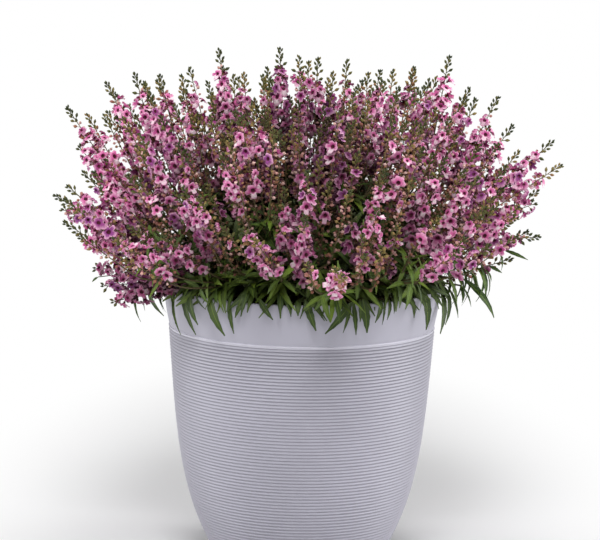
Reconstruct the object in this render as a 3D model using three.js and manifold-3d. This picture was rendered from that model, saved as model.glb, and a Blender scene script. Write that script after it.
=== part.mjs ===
// A potted angelonia: a ribbed, tapering planter filled with potting mix, and three bushy plants in it
// whose leafy stems fan out into upright flower spikes. Each spike carries two-lipped florets round a slim
// core and ends in a green tip of closed buds. Millimetres, +Z up, the origin at the middle of the pot's
// flat foot.
import * as THREE from 'three';
import { mergeVertices } from 'three/addons/utils/BufferGeometryUtils.js';
import Module from 'manifold-3d';

const wasm = await Module();
wasm.setup();

const TURN = 2 * Math.PI;
const GOLDEN_ANGLE = Math.PI * (3 - Math.sqrt(5));
const UP = new THREE.Vector3(0, 0, 1);
const DOWN = new THREE.Vector3(0, 0, -1);
const { degToRad: radians, clamp, lerp, smoothstep } = THREE.MathUtils;

// Driving dimensions of the pot. Its ribs are coarser than life.
const pot = {
  height: 310,
  rimRadius: 152.5,
  lip: 2,
  shoulderHeight: 264,
  shoulderRadius: 147.5,
  taper: 20,
  tuck: 39,
  tuckPower: 4,
  foot: 4,
  wall: 4,
  floor: 6,
  ribs: 10,
  ribDepth: 1.8,
  ribCrest: 0.3,
  flareSteps: 4,
  sides: 28,
};
const soil = { top: 282, edge: 278, edgeShare: 0.6, relief: 1.6, waves: [0.21, 0.17] };
const GAP = 0.4; // between pieces that touch

// Driving dimensions of the plants. The stems fan out round the heart of the bush.
const bush = {
  heart: new THREE.Vector3(0, 0, 300),
  halfWidth: 304,
  halfDepth: 286,
  rise: 268,
  squareness: 3,
  lowest: radians(12),
  upright: [0.2, 0.65],
  uprightFrom: radians(45),
  reach: [0.83, 1.02],
  reachDraw: 4,
  turn: radians(-12),
  spikes: 46,
};
const crown = { plants: 3, circle: 55, neck: 9, root: 240, shoulder: 12, spread: 6, sides: 8 };
const stem = { radius: 1.9, steps: 3, rise: 60, lean: 0.28, sways: [0, 9, -9, 18, -18, 27, -27] };
const spike = {
  florets: 7,
  lowFlorets: 5,
  lowBelow: radians(30),
  tilts: [0, 4, -4, 8, -8, 12, -12].map(radians),
  pitch: 11.5,
  endPitch: 4.5,
  coreRadius: 8,
  boreRadius: 2.9,
  end: 2,
};
const floret = {
  radius: 19,
  topRadius: 14,
  standOff: 18,
  throat: 6,
  lobes: [[60, 0.86], [120, 0.86], [190, 1], [270, 1.14], [350, 1]],
  notch: 0.55,
  fold: 3.5,
  nod: radians(4),
};
const bud = { bands: 2, bandHeight: 11, ringRadius: 2.2, narrowing: 0.2, height: 4.2, lift: 3, point: 8 };
const leaf = { length: 54, width: 9, keel: 1.6, widest: 0.35, narrow: 0.72, narrowShare: 0.66 };
const thicket = {
  bottom: 286,
  radius: 104,
  width: 122,
  waist: 330,
  top: 388,
  power: 2.4,
  rings: 3,
  sides: 21,
  relief: 12,
  waves: [0.19, 0.17, 0.11],
};
const thicketLeaves = {
  count: 76,
  highest: radians(70),
  lowest: radians(1),
  depth: 8,
  stand: 0.7,
  turn: radians(90),
  returns: [0, 25, -25, 50, -50].map(radians),
  longer: [1.2, 1.6],
  wider: 1.5,
  droop: 0.2,
};
const skirt = {
  shoots: 13,
  reach: 168,
  height: 321,
  rise: 34,
  fall: 0.15,
  leaves: [[3, 0], [2.9, 0.6], [2.9, -0.6], [2.6, 1.2], [2.6, -1.2]],
  leafFall: 0.1,
  longer: [0.85, 1.15],
  droops: [0.85, 0.65, 0.45, 0.25, 0.05],
};

const finishes = {
  pot: { color: 0xb9b7c6, roughness: 0.55, metalness: 0 },
  soil: { color: 0x3a2a1e, roughness: 1, metalness: 0 },
  petals: { color: 0xc56bb2, roughness: 0.75, metalness: 0 },
  greens: { color: 0x4f7a2c, roughness: 0.7, metalness: 0 },
};

// A repeatable draw from 0 to 1 for one feature of one piece.
function draw(piece, feature) {
  const wave = Math.sin(piece * 127.1 + feature * 311.7) * 43758.5453;
  return wave - Math.floor(wave);
}

const along = (point, direction, distance) => point.clone().addScaledVector(direction, distance);
const around = (azimuth, radius, height) =>
  new THREE.Vector3(radius * Math.cos(azimuth), radius * Math.sin(azimuth), height);
const wrapped = (angle) => angle - TURN * Math.round(angle / TURN);

// A frame has its front along an axis, and right and up lie across it.
function frameAlong(front, towardsRight) {
  const right = along(towardsRight, front, -towardsRight.dot(front)).normalize();
  return { front, right, up: front.clone().cross(right) };
}

function manifoldOf(coordinates, corners) {
  const vertProperties = new Float32Array(coordinates);
  return new wasm.Manifold(new wasm.Mesh({ numProp: 3, vertProperties, triVerts: new Uint32Array(corners) }));
}

// A closed skin of triangles, built up from rings that run anticlockwise seen from the front of their frame.
class Skin {
  constructor() {
    this.points = [];
    this.faces = [];
  }

  point(position) {
    return this.points.push(position) - 1;
  }

  ring(centre, frame, radius, sides, shift = 0) {
    return Array.from({ length: sides }, (_, k) => {
      const angle = (TURN * (k + shift)) / sides;
      const sideways = along(centre, frame.right, radius * Math.cos(angle));
      return this.point(along(sideways, frame.up, radius * Math.sin(angle)));
    });
  }

  // Faces between a ring and a point before it or after it.
  fan(ring, peak, before = false) {
    ring.forEach((a, k) => {
      const b = ring[(k + 1) % ring.length];
      this.faces.push(before ? [peak, b, a] : [a, b, peak]);
    });
  }

  // Faces between two rings of as many points.
  tube(lower, upper) {
    lower.forEach((a, k) => {
      const next = (k + 1) % lower.length;
      this.faces.push([a, lower[next], upper[next]], [a, upper[next], upper[k]]);
    });
  }

  // Faces between two rings of any counts of points, matched by their angle round a centre.
  join(lower, upper, centre, frame, inward = false) {
    const angleOf = (k) => {
      const offset = this.points[k].clone().sub(centre);
      return Math.atan2(offset.dot(frame.up), offset.dot(frame.right));
    };
    const unrolled = (ring, start) => {
      const angles = [start];
      ring.forEach((k, n) => {
        const step = wrapped(angleOf(ring[(n + 1) % ring.length]) - angleOf(k));
        angles.push(angles[n] + (step < 0 ? step + TURN : step));
      });
      return angles;
    };
    const start = angleOf(lower[0]);
    const nearness = upper.map((k) => Math.abs(wrapped(angleOf(k) - start)));
    const first = nearness.indexOf(Math.min(...nearness));
    const shifted = upper.map((_, k) => upper[(first + k) % upper.length]);
    const low = unrolled(lower, start);
    const high = unrolled(shifted, start + wrapped(angleOf(shifted[0]) - start));
    let i = 0;
    let j = 0;
    while (i < lower.length || j < upper.length) {
      const a = lower[i % lower.length];
      const b = shifted[j % upper.length];
      const onLower = j === upper.length || (i < lower.length && low[i + 1] < high[j + 1]);
      const next = onLower ? lower[(i + 1) % lower.length] : shifted[(j + 1) % upper.length];
      this.faces.push(inward ? [a, b, next] : [a, next, b]);
      if (onLower) i += 1;
      else j += 1;
    }
  }

  // A small pyramid on the triangle of three points, as a bud stands on its stem.
  budOn(a, b, c, height, lift) {
    const [A, B, C] = [a, b, c].map((k) => this.points[k]);
    const outward = B.clone().sub(A).cross(C.clone().sub(A)).normalize();
    const middle = A.clone().add(B).add(C).divideScalar(3);
    this.fan([a, b, c], this.point(along(middle, outward, height).add(lift)));
  }

  solid() {
    return manifoldOf(this.points.flatMap((point) => point.toArray()), this.faces.flat());
  }
}

function solidOf(geometry) {
  geometry.deleteAttribute('normal');
  geometry.deleteAttribute('uv');
  const merged = mergeVertices(geometry, 1e-3);
  const corners = Array.from(merged.index.array);
  const triVerts = [];
  for (let k = 0; k < corners.length; k += 3) {
    const triangle = corners.slice(k, k + 3);
    if (new Set(triangle).size === 3) triVerts.push(...triangle);
  }
  return manifoldOf(merged.attributes.position.array, triVerts);
}

function meshOf(name, solid, finish) {
  const { vertProperties, triVerts } = solid.getMesh();
  const indexed = new THREE.BufferGeometry();
  indexed.setAttribute('position', new THREE.BufferAttribute(new Float32Array(vertProperties), 3));
  indexed.setIndex(new THREE.BufferAttribute(new Uint32Array(triVerts), 1));
  const geometry = indexed.toNonIndexed();
  geometry.computeVertexNormals();
  const mesh = new THREE.Mesh(geometry, new THREE.MeshStandardMaterial(finish));
  mesh.name = name;
  return mesh;
}

// A profile of [radius, height] pairs turned round the Z axis.
function turned(profile, sides) {
  const points = profile.map(([radius, height]) => new THREE.Vector2(radius, height));
  return new THREE.LatheGeometry(points, sides).rotateX(Math.PI / 2);
}

function boxesMeet(a, b) {
  const [first, second] = [a.boundingBox(), b.boundingBox()];
  return [0, 1, 2].every((n) => first.min[n] <= second.max[n] && second.min[n] <= first.max[n]);
}

function isClear(solid, others) {
  return others.every((other) => !boxesMeet(solid, other) || solid.intersect(other).isEmpty());
}

// The pot's outer radius where it is ribbed: a gentle taper that tucks in towards the foot.
function wallRadius(height) {
  const below = Math.max(0, 1 - height / pot.shoulderHeight);
  return pot.shoulderRadius - pot.taper * below - pot.tuck * below ** pot.tuckPower;
}

function innerWall(gap) {
  const heights = [pot.floor, 0.15 * pot.height, 0.42 * pot.height, pot.shoulderHeight];
  return heights.map((height) => [wallRadius(height) - pot.ribDepth - pot.wall - gap, height]);
}

function potSolid() {
  const pitch = (pot.shoulderHeight - pot.foot) / pot.ribs;
  const ribs = Array.from({ length: pot.ribs }, (_, k) => {
    const ledge = pot.foot + k * pitch;
    const crest = ledge + pot.ribCrest * pitch;
    return [[wallRadius(ledge) - pot.ribDepth, ledge], [wallRadius(crest), crest]];
  }).flat();
  const flare = Array.from({ length: pot.flareSteps + 1 }, (_, k) => {
    const share = k / pot.flareSteps;
    const height = lerp(pot.shoulderHeight, pot.height - pot.lip, share);
    return [lerp(pot.shoulderRadius - pot.ribDepth, pot.rimRadius, Math.sin((share * TURN) / 4)), height];
  });
  const profile = [
    [0, 0],
    [wallRadius(0) - pot.foot, 0],
    ...ribs,
    ...flare,
    [pot.rimRadius - pot.lip / 2, pot.height],
    [pot.rimRadius - pot.wall, pot.height],
    ...innerWall(0).reverse(),
    [0, pot.floor],
  ];
  return solidOf(turned(profile, pot.sides));
}

const crowns = Array.from({ length: crown.plants }, (_, k) => {
  const azimuth = TURN * (k / crown.plants - 0.25);
  return { azimuth, centre: around(azimuth, crown.circle, soil.top) };
});

function crownOf(azimuth) {
  const away = crowns.map((place) => Math.abs(wrapped(azimuth - place.azimuth)));
  return away.indexOf(Math.min(...away));
}

// The filling has a gently uneven top and a plain hole for each plant's neck.
function soilSolid() {
  const wall = innerWall(GAP);
  wall[0][1] += GAP;
  const outer = wall[wall.length - 1][0];
  const top = [[outer, soil.edge], [soil.edgeShare * outer, soil.top], [0, soil.top]];
  const body = turned([[0, wall[0][1]], ...wall, ...top], pot.sides);
  const place = body.attributes.position;
  for (let k = 0; k < place.count; k++) {
    const swell = Math.sin(soil.waves[0] * place.getX(k)) * Math.cos(soil.waves[1] * place.getY(k));
    if (place.getZ(k) > soil.edge + 1) place.setZ(k, place.getZ(k) + soil.relief * swell);
  }
  const [radius, floor] = [crown.neck + GAP, crown.root - GAP];
  const hole = [[0, floor], [radius, floor], [radius, pot.height], [0, pot.height]];
  return crowns.reduce(
    (rest, { centre }) => rest.subtract(solidOf(turned(hole, crown.sides).translate(centre.x, centre.y, 0))),
    solidOf(body),
  );
}

// The height of a point of a spike's core. Its points close up at both ends, below and above the florets.
function coreHeight(k, florets) {
  const [ends, middle] = [Math.min(k, 3) + Math.max(0, k - florets - 1), clamp(k - 3, 0, florets - 2)];
  return ends * spike.endPitch + middle * spike.pitch;
}

// Where a spike's tip is and which way the spike grows. The tips are spread evenly over a squared dome.
function spikePlace(index, tilt) {
  const share = (index + 0.5) / bush.spikes;
  const azimuth = bush.turn + index * GOLDEN_ANGLE;
  const lift = Math.asin(lerp(1, Math.sin(bush.lowest), share));
  const ray = around(azimuth, Math.cos(lift), Math.sin(lift));
  const plan = Math.hypot(ray.x / bush.halfWidth, ray.y / bush.halfDepth);
  const power = bush.squareness;
  const outline = (plan ** power + (ray.z / bush.rise) ** power) ** (-1 / power);
  const tip = along(bush.heart, ray, outline * lerp(...bush.reach, draw(index, bush.reachDraw)));
  const upright = lerp(...bush.upright, smoothstep(lift, bush.lowest, bush.uprightFrom));
  const aside = around(azimuth + TURN / 4, 1, 0);
  const axis = along(along(ray, UP, upright).normalize(), aside, Math.tan(tilt)).normalize();
  const florets = lift < spike.lowBelow ? spike.lowFlorets : spike.florets;
  const length = coreHeight(florets + 4, florets);
  const base = along(tip, axis, -(length + spike.end + GAP + bud.bands * bud.bandHeight + bud.point));
  const frame = frameAlong(axis, aside);
  return { index, azimuth, base, axis, frame, florets, length };
}

// One floret: a funnel with two upper and three lower lobes, standing on four points of the spike's core.
function addFloret(skin, seat, place, size) {
  const middle = new THREE.Vector3();
  seat.forEach((k) => middle.addScaledVector(skin.points[k], 1 / seat.length));
  const onAxis = along(place.base, place.axis, middle.clone().sub(place.base).dot(place.axis));
  const outward = middle.clone().sub(onAxis).normalize();
  const right = place.axis.clone().cross(outward);
  const front = outward.clone().applyAxisAngle(right, floret.nod);
  const frame = { front, right, up: front.clone().cross(right) };
  const centre = along(onAxis, outward, floret.standOff);
  const { lobes } = floret;
  const outline = lobes.flatMap(([degrees, reach], k) => {
    const next = k + 1 < lobes.length ? lobes[k + 1][0] : lobes[0][0] + 360;
    return [[degrees, reach, 0], [(degrees + next) / 2, floret.notch, -floret.fold]];
  });
  const rim = outline.map(([degrees, reach, depth]) => {
    const spoke = right.clone().applyAxisAngle(front, radians(degrees));
    return skin.point(along(along(centre, spoke, reach * size), front, depth));
  });
  skin.fan(rim, skin.point(along(centre, front, -floret.throat)));
  skin.join(seat, rim, middle, frame);
}

// A spike's florets stand on a slim core whose points climb it in a golden spiral. Each floret stands on the
// diamond of a point and the ones two, three and five steps above it. A bore lets the stem through.
function spikeSolid(place) {
  const { base, axis, frame, florets, length } = place;
  const skin = new Skin();
  const core = Array.from({ length: florets + 5 }, (_, k) => {
    const spoke = frame.right.clone().applyAxisAngle(axis, k * GOLDEN_ANGLE);
    return skin.point(along(along(base, axis, coreHeight(k, florets)), spoke, spike.coreRadius));
  });
  for (let k = 0; k < florets; k++) {
    const size = lerp(floret.radius, floret.topRadius, k / (florets - 1));
    addFloret(skin, [core[k], core[k + 3], core[k + 5], core[k + 2]], place, size);
  }
  const below = skin.ring(along(base, axis, -spike.end), frame, spike.boreRadius, 3);
  const above = skin.ring(along(base, axis, length + spike.end), frame, spike.boreRadius, 3);
  const turnOfFive = (from) => [0, 3, 1, 4, 2].map((k) => core[from + k]);
  skin.join(below, turnOfFive(0), base, frame);
  skin.join(turnOfFive(florets), above, base, frame);
  skin.join(below, above, base, frame, true);
  return skin.solid();
}

// A stem along a path of points. Its last ring has the given frame, and the others are carried back from it.
function stemRings(skin, points, lastFrame) {
  const frames = [lastFrame];
  for (let k = points.length - 2; k >= 0; k--) {
    const front = points[k + 1].clone().sub(points[Math.max(0, k - 1)]).normalize();
    frames.unshift(frameAlong(front, frames[0].right));
  }
  const rings = points.map((point, k) => skin.ring(point, frames[k], stem.radius, 3));
  const foot = skin.point(along(points[0], frames[0].front, -stem.radius));
  skin.fan(rings[0], foot, true);
  rings.slice(1).forEach((ring, k) => skin.tube(rings[k], ring));
  return rings;
}

// A flowering stem runs through its spike's bore and ends in buds, set in bands of six.
function floweringStem(path, place) {
  const { base, axis, frame, length } = place;
  const skin = new Skin();
  const exit = along(base, axis, length + spike.end + GAP);
  let ring = stemRings(skin, [...path, exit], frame).pop();
  const lift = axis.clone().multiplyScalar(bud.lift);
  for (let band = 1; band <= bud.bands; band++) {
    const centre = along(exit, axis, band * bud.bandHeight);
    const next = skin.ring(centre, frame, bud.ringRadius * (1 - bud.narrowing * band), 3, band / 2);
    for (let n = 0; n < 3; n++) {
      const after = (n + 1) % 3;
      skin.budOn(ring[n], ring[after], next[n], bud.height, lift);
      skin.budOn(ring[after], next[after], next[n], bud.height, lift);
    }
    ring = next;
  }
  skin.fan(ring, skin.point(along(exit, axis, bud.bands * bud.bandHeight + bud.point)));
  return skin.solid();
}

// A narrow, keeled leaf from a root inside its stem to a pointed tip, bending down on the way.
function leafSolid(root, heading, faceward, length, width, droop) {
  const skin = new Skin();
  const face = along(faceward, heading, -faceward.dot(heading)).normalize();
  const side = face.clone().cross(heading);
  const midrib = (share) => along(along(root, heading, length * share), DOWN, length * droop * share * share);
  const section = (share, breadth) => {
    const centre = midrib(share);
    const half = (width * breadth) / 2;
    const corners = [along(centre, side, half), along(centre, side, -half), along(centre, face, -leaf.keel)];
    return corners.map((corner) => skin.point(corner));
  };
  const wide = section(leaf.widest, 1);
  const narrow = section(leaf.narrow, leaf.narrowShare);
  skin.fan(wide, skin.point(root), true);
  skin.tube(wide, narrow);
  skin.fan(narrow, skin.point(midrib(1)));
  return skin.solid();
}

// A way from a plant's neck to an end point: up out of the soil, then in line with the end's direction.
function pathTo(end, direction, azimuth, rise, sway = 0) {
  const { centre } = crowns[crownOf(azimuth)];
  const start = along(along(centre, UP, crown.shoulder / 2), around(azimuth, 1, 0), crown.spread);
  const handle = stem.lean * start.distanceTo(end);
  const aside = around(azimuth + TURN / 4, sway, 0);
  const leaving = along(start, UP, Math.min(rise, handle)).add(aside);
  const arriving = along(end, direction, -handle).add(aside);
  return new THREE.CubicBezierCurve3(start, leaving, arriving, end).getPoints(stem.steps);
}

function pointOn(path, step) {
  const k = Math.min(Math.floor(step), path.length - 2);
  return path[k].clone().lerp(path[k + 1], step - k);
}

// How far the thicket's squared mound reaches from its heart along a ray.
function moundReach(ray) {
  const plan = Math.hypot(ray.x, ray.y) / thicket.width;
  const rise = ray.z / (thicket.top - thicket.waist);
  return (plan ** thicket.power + rise ** thicket.power) ** (-1 / thicket.power);
}

// The thicket of leaves and stems in the heart of a plant: a rough mound, cut to the plant's own third of
// the bush.
function thicketSolid({ azimuth }) {
  const { bottom, radius, width, waist, top, rings, sides, relief, waves } = thicket;
  const mound = Array.from({ length: rings + 1 }, (_, k) => {
    const ray = around(0, Math.cos((k / rings) * (TURN / 4)), Math.sin((k / rings) * (TURN / 4)));
    return [ray.x * moundReach(ray), waist + ray.z * moundReach(ray)];
  });
  const body = turned([[0, bottom], [radius, bottom], ...mound], sides);
  const place = body.attributes.position;
  for (let k = 0; k < place.count; k++) {
    const [x, y, z] = [place.getX(k), place.getY(k), place.getZ(k)];
    const swell = 1 + (relief / width) * Math.sin(waves[0] * x + 1) * Math.cos(waves[1] * y + waves[2] * z);
    if (z > bottom + 1) place.setXYZ(k, x * swell, y * swell, lerp(bottom, z, swell));
  }
  const third = [-TURN / 6, TURN / 6].map((turn) => around(azimuth + turn, 4 * width, 0));
  const shape = new THREE.Shape([around(azimuth, GAP, 0), ...third]);
  const wedge = new THREE.ExtrudeGeometry(shape, { depth: 2 * top, bevelEnabled: false });
  return solidOf(body).intersect(solidOf(wedge));
}

const potBody = potSolid();
const soilBody = soilSolid();
const thickets = crowns.map(thicketSolid);
const places = [];
const spikes = [];
for (let index = 0; index < bush.spikes; index++) {
  const choices = spike.tilts.map((tilt) => spikePlace(index, tilt));
  const place = choices.find((choice) => isClear(spikeSolid(choice), [potBody, ...thickets, ...spikes]));
  if (!place) throw new Error(`Spike ${index + 1} crosses another piece.`);
  places.push(place);
  spikes.push(spikeSolid(place));
}
const fixed = [potBody, soilBody, ...spikes];

// The greens of each plant: its neck, its thicket, its stems and its leaves, kept clear of the other pieces.
const neckTop = soil.top + crown.shoulder;
const neckProfile = [[0, crown.root], [crown.neck, crown.root], [crown.neck, neckTop], [0, neckTop]];
const greens = crowns.map(({ centre }, k) => [
  solidOf(turned(neckProfile, crown.sides).translate(centre.x, centre.y, 0)),
  thickets[k],
]);

// Adds the first of the choices that grows from its plant and is clear of all the pieces outside that plant.
function addClear(azimuth, choices, make) {
  const plant = crownOf(azimuth);
  const others = [...fixed, ...greens.filter((_, k) => k !== plant).flat()];
  for (const choice of choices) {
    const solid = make(choice);
    if (isClear(solid, others) && !isClear(solid, greens[plant])) {
      greens[plant].push(solid);
      return choice;
    }
  }
  return null;
}

const paths = places.map((place) => {
  const end = along(place.base, place.axis, -2 * spike.end);
  const pathFor = (sway) => pathTo(end, place.axis, place.azimuth, stem.rise, sway);
  const sway = addClear(place.azimuth, stem.sways, (choice) => floweringStem(pathFor(choice), place));
  if (sway === null) throw new Error(`The stem of spike ${place.index + 1} crosses another piece.`);
  return pathFor(sway);
});

// A leafy shoot leans over the rim. Its leaves hang down outside the pot.
function addLeafyShoot(k) {
  const azimuth = (TURN * (k + 0.5)) / skirt.shoots;
  const direction = around(azimuth, 1, -skirt.fall).normalize();
  const end = around(azimuth, skirt.reach, skirt.height);
  const path = pathTo(end, direction, azimuth, skirt.rise);
  const shoot = () => {
    const skin = new Skin();
    const last = stemRings(skin, path, frameAlong(direction, around(azimuth + TURN / 4, 1, 0))).pop();
    skin.fan(last, skin.point(along(end, direction, stem.radius)));
    return skin.solid();
  };
  if (addClear(azimuth, [0], shoot) === null) return;
  skirt.leaves.forEach(([step, turn], n) => {
    const root = pointOn(path, step);
    const heading = around(azimuth + turn, 1, -skirt.leafFall).normalize();
    const length = leaf.length * lerp(...skirt.longer, draw(k, 10 + n));
    addClear(azimuth, skirt.droops, (droop) => leafSolid(root, heading, UP, length, leaf.width, droop));
  });
}

// Leaves stand out all over the thicket, rooted in its mound, with their faces turned outwards.
function addThicketLeaf(k) {
  const { count, highest, lowest, depth, stand, turn, returns, longer, wider, droop } = thicketLeaves;
  const azimuth = k * GOLDEN_ANGLE;
  const lift = Math.asin(lerp(Math.sin(highest), Math.sin(lowest), (k + 0.5) / count));
  const ray = around(azimuth, Math.cos(lift), Math.sin(lift));
  const root = along(new THREE.Vector3(0, 0, thicket.waist), ray, moundReach(ray) - depth);
  const aside = around(azimuth + TURN / 4, 1, 0);
  const uphill = along(UP, ray, -ray.z).normalize();
  const length = leaf.length * lerp(...longer, draw(k, 30));
  const ownTurn = lerp(-turn, turn, draw(k, 31));
  addClear(azimuth, returns.map((other) => ownTurn + other), (angle) => {
    const slope = along(uphill.clone().multiplyScalar(Math.cos(angle)), aside, Math.sin(angle));
    const heading = along(slope, ray, stand).normalize();
    return leafSolid(root, heading, ray, length, leaf.width * wider, droop);
  });
}

for (let k = 0; k < skirt.shoots; k++) addLeafyShoot(k);
for (let k = 0; k < thicketLeaves.count; k++) addThicketLeaf(k);

const plants = greens.map((pieces) => pieces.reduce((whole, piece) => whole.add(piece)));
const padded = (number) => String(number).padStart(2, '0');
export default new THREE.Group().add(
  meshOf('pot', potBody, finishes.pot),
  meshOf('potting_mix', soilBody, finishes.soil),
  ...plants.map((solid, k) => meshOf(`plant_${k + 1}`, solid, finishes.greens)),
  ...spikes.map((solid, k) => meshOf(`spike_${padded(k + 1)}`, solid, finishes.petals)),
);
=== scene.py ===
"""Dresses the potted angelonia: a ribbed planter, its potting mix and three bushy plants in flower."""
import functools
from collections import namedtuple
from math import asin, atan2, copysign, cos, hypot, pi, radians, remainder, sin, sqrt

import bpy
import numpy as np
from bpy.props import FloatProperty, FloatVectorProperty, IntProperty, PointerProperty
from mathutils import Matrix, Quaternion, Vector


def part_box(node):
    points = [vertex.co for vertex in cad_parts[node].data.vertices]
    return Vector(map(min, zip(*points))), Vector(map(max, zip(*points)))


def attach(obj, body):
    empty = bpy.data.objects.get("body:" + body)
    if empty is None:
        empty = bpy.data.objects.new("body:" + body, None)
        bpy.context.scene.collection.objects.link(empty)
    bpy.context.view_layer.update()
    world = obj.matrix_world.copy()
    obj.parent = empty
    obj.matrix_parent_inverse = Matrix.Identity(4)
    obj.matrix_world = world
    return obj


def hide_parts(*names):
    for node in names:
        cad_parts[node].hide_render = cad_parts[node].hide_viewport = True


bl_info = {
    "name": "Potted angelonia",
    "version": (1, 0, 0),
    "blender": (4, 5, 0),
    "location": "3D View > Sidebar > Planter",
    "description": "Builds a ribbed planter full of angelonia in flower",
    "category": "Object",
}

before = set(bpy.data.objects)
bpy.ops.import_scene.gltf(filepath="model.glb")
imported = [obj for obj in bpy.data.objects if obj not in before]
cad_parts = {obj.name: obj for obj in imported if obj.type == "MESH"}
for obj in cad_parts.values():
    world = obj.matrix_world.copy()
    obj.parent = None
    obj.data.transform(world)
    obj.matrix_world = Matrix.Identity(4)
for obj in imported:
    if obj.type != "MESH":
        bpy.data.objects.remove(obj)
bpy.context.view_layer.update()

MM = 0.001
TURN = 2 * pi
GOLDEN_ANGLE = pi * (3 - sqrt(5))
UP = Vector((0, 0, 1))

# The first seeds of the random draws.
CRUMB_SEED = 5
LUMP_SEED = 40
SHOOT_SEED = 100
LEAF_SEED = 1000
MOUND_SEED = 2000
RIM_SEED = 3000
FLOWER_SEED = 5000
SEEDY_SEED = 7000

# The pot, whose ribs stand on a wall that tapers and then tucks in towards the foot.
POT_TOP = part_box("pot")[1].z
RIM_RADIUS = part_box("pot")[1].x
SHOULDER_HEIGHT = 264 * MM
SHOULDER_RADIUS = 147.5 * MM
TAPER = 20 * MM
TUCK = 39 * MM
TUCK_POWER = 4
WALL = 4 * MM
FOOT = 10 * MM
POT_FLOOR = 6 * MM
LIP = 2 * MM
RIM_BAND = POT_TOP - LIP - SHOULDER_HEIGHT
BEAD = 1.1 * MM
RIBS_TOP = SHOULDER_HEIGHT - 2 * BEAD
POT_SIDES = 144
WALL_STEPS = 26

# The potting mix.
SOIL_EDGE = 278 * MM
SOIL_TOP = 282 * MM
SOIL_GAP = 0.4 * MM
SOIL_RINGS = 26
SOIL_SIDES = 96
CRUMBS = 700

# The plants. Their stems start round three necks and fan out round the heart of the bush.
HEART = Vector((0, 0, 300 * MM))
PLANTS = 3
SPIKE_NODES = sorted(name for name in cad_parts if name.startswith("spike_"))
NECK_CIRCLE = 55 * MM
NECK_TOP = SOIL_TOP + 6 * MM
NECK_SPREAD = 6 * MM
STEM_RISE = 60 * MM
STEM_LEAN = 0.28
# The radius of each stem at the neck in millimetres, and how much thinner it is at the tip.
FLOWERING_STEM = (1.7, 1.3)
LEAFY_STEM = (1.4, 0.9)

# The flowering shoots, on the CAD spikes: the reach of the slim rings at a spike's ends, how far the rings
# stand outside its flowers, how far the buds rise above it, and how far the open flowers go into them.
BORE_REACH = 5 * MM
RING_OVERHANG = 2 * MM
BUD_REACH = 17 * MM
SPIKE_EXTRA = 4 * MM

# The side shoots. Low ones near the rim or in front are raised by the lift, in millimetres, and far ones are
# shortened.
SIDE_SHOOTS = 3
LOW_SIDE = POT_TOP + 25 * MM
RIM_ZONE = (115 * MM, 175 * MM)
FRONT_ZONE = -120 * MM
SIDE_LIFT = 22
SIDE_LIMIT = 262 * MM

# Extra side shoots gone to seed, and where the capsules start below the flowers.
SEEDY_SHOOTS = 1
SEEDY = 1.4
SEEDY_FLOOR = POT_TOP + 50 * MM
SEEDY_CROWN = POT_TOP + 70 * MM
CAPSULE_FLOOR = POT_TOP + 45 * MM
CAPSULE_START = -22 * MM

# The outermost shoots that the photo shows: the pixel of the tip, across and down, how far it is in front of
# the pot's axis in millimetres, how far the shoot leans right in degrees, and its share of spent flowers.
OUTER_SHOOTS = [
    (552, 142, -10, 48, 0.3), (560, 166, 30, 55, 0.5), (538, 237, 40, 84, 0.1), (518, 153, -30, 40, 0.6),
    (512, 127, -20, 36, 0.3), (497, 99, 10, 25, 0.4), (475, 101, 20, 20, 0.5), (449, 58, -10, 10, 0.1),
    (429, 81, 20, 9, 0.3), (413, 69, 0, 6, 0.7), (393, 72, 30, 5, 0.7), (368, 75, -20, 4, 0.6),
    (347, 62, 10, 3, 0.5), (333, 74, -20, 3, 0.7), (318, 60, 0, 2, 0.6), (301, 70, 30, 0, 0.6),
    (280, 50, 0, -2, 0.2), (263, 77, 30, -3, 0.6), (244, 75, -10, -5, 0.7), (219, 51, 10, -8, 0.1),
    (182, 77, -20, -12, 0.6), (160, 77, 10, -14, 0.3), (135, 75, 20, -16, 0.1), (107, 84, 10, -26, 0.4),
    (88, 116, -20, -30, 0.6), (68, 109, 0, -34, 0.3), (84, 173, 40, -42, 0.4), (56, 196, 10, -58, 0.2),
]
# The outermost masses of flowers, whose green tips are hidden: the pixel where the flowers end, and the same.
OUTER_MASSES = [
    (80, 148, 30, -40), (64, 210, 30, -64), (84, 240, 30, -76), (96, 268, 50, -86), (104, 286, 70, -95),
    (114, 302, 80, -107), (534, 204, 20, 68), (488, 128, 10, 28),
]
MASS_SPENT = 0.05
OUTER_FLOWERS = 78 * MM
OUTER_TIP = 24 * MM
MASS_TIP = 6 * MM

# The leafy shoots that lean out over the rim. In front they are short, where the leaves listed below hang.
LEAFY_SHOOTS = 27
LEAFY_REACH = 166 * MM
LEAFY_HEIGHT = 323 * MM
LEAFY_RISE = 34 * MM
FRINGE_LEAVES = 4
FRONT_CUT = 26 * MM

# Longer leafy shoots beside the pot: direction in degrees, reach and height in millimetres.
LEAFY_SPRAYS = [(-6, 196, 338), (12, 184, 330), (186, 178, 326)]

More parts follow.
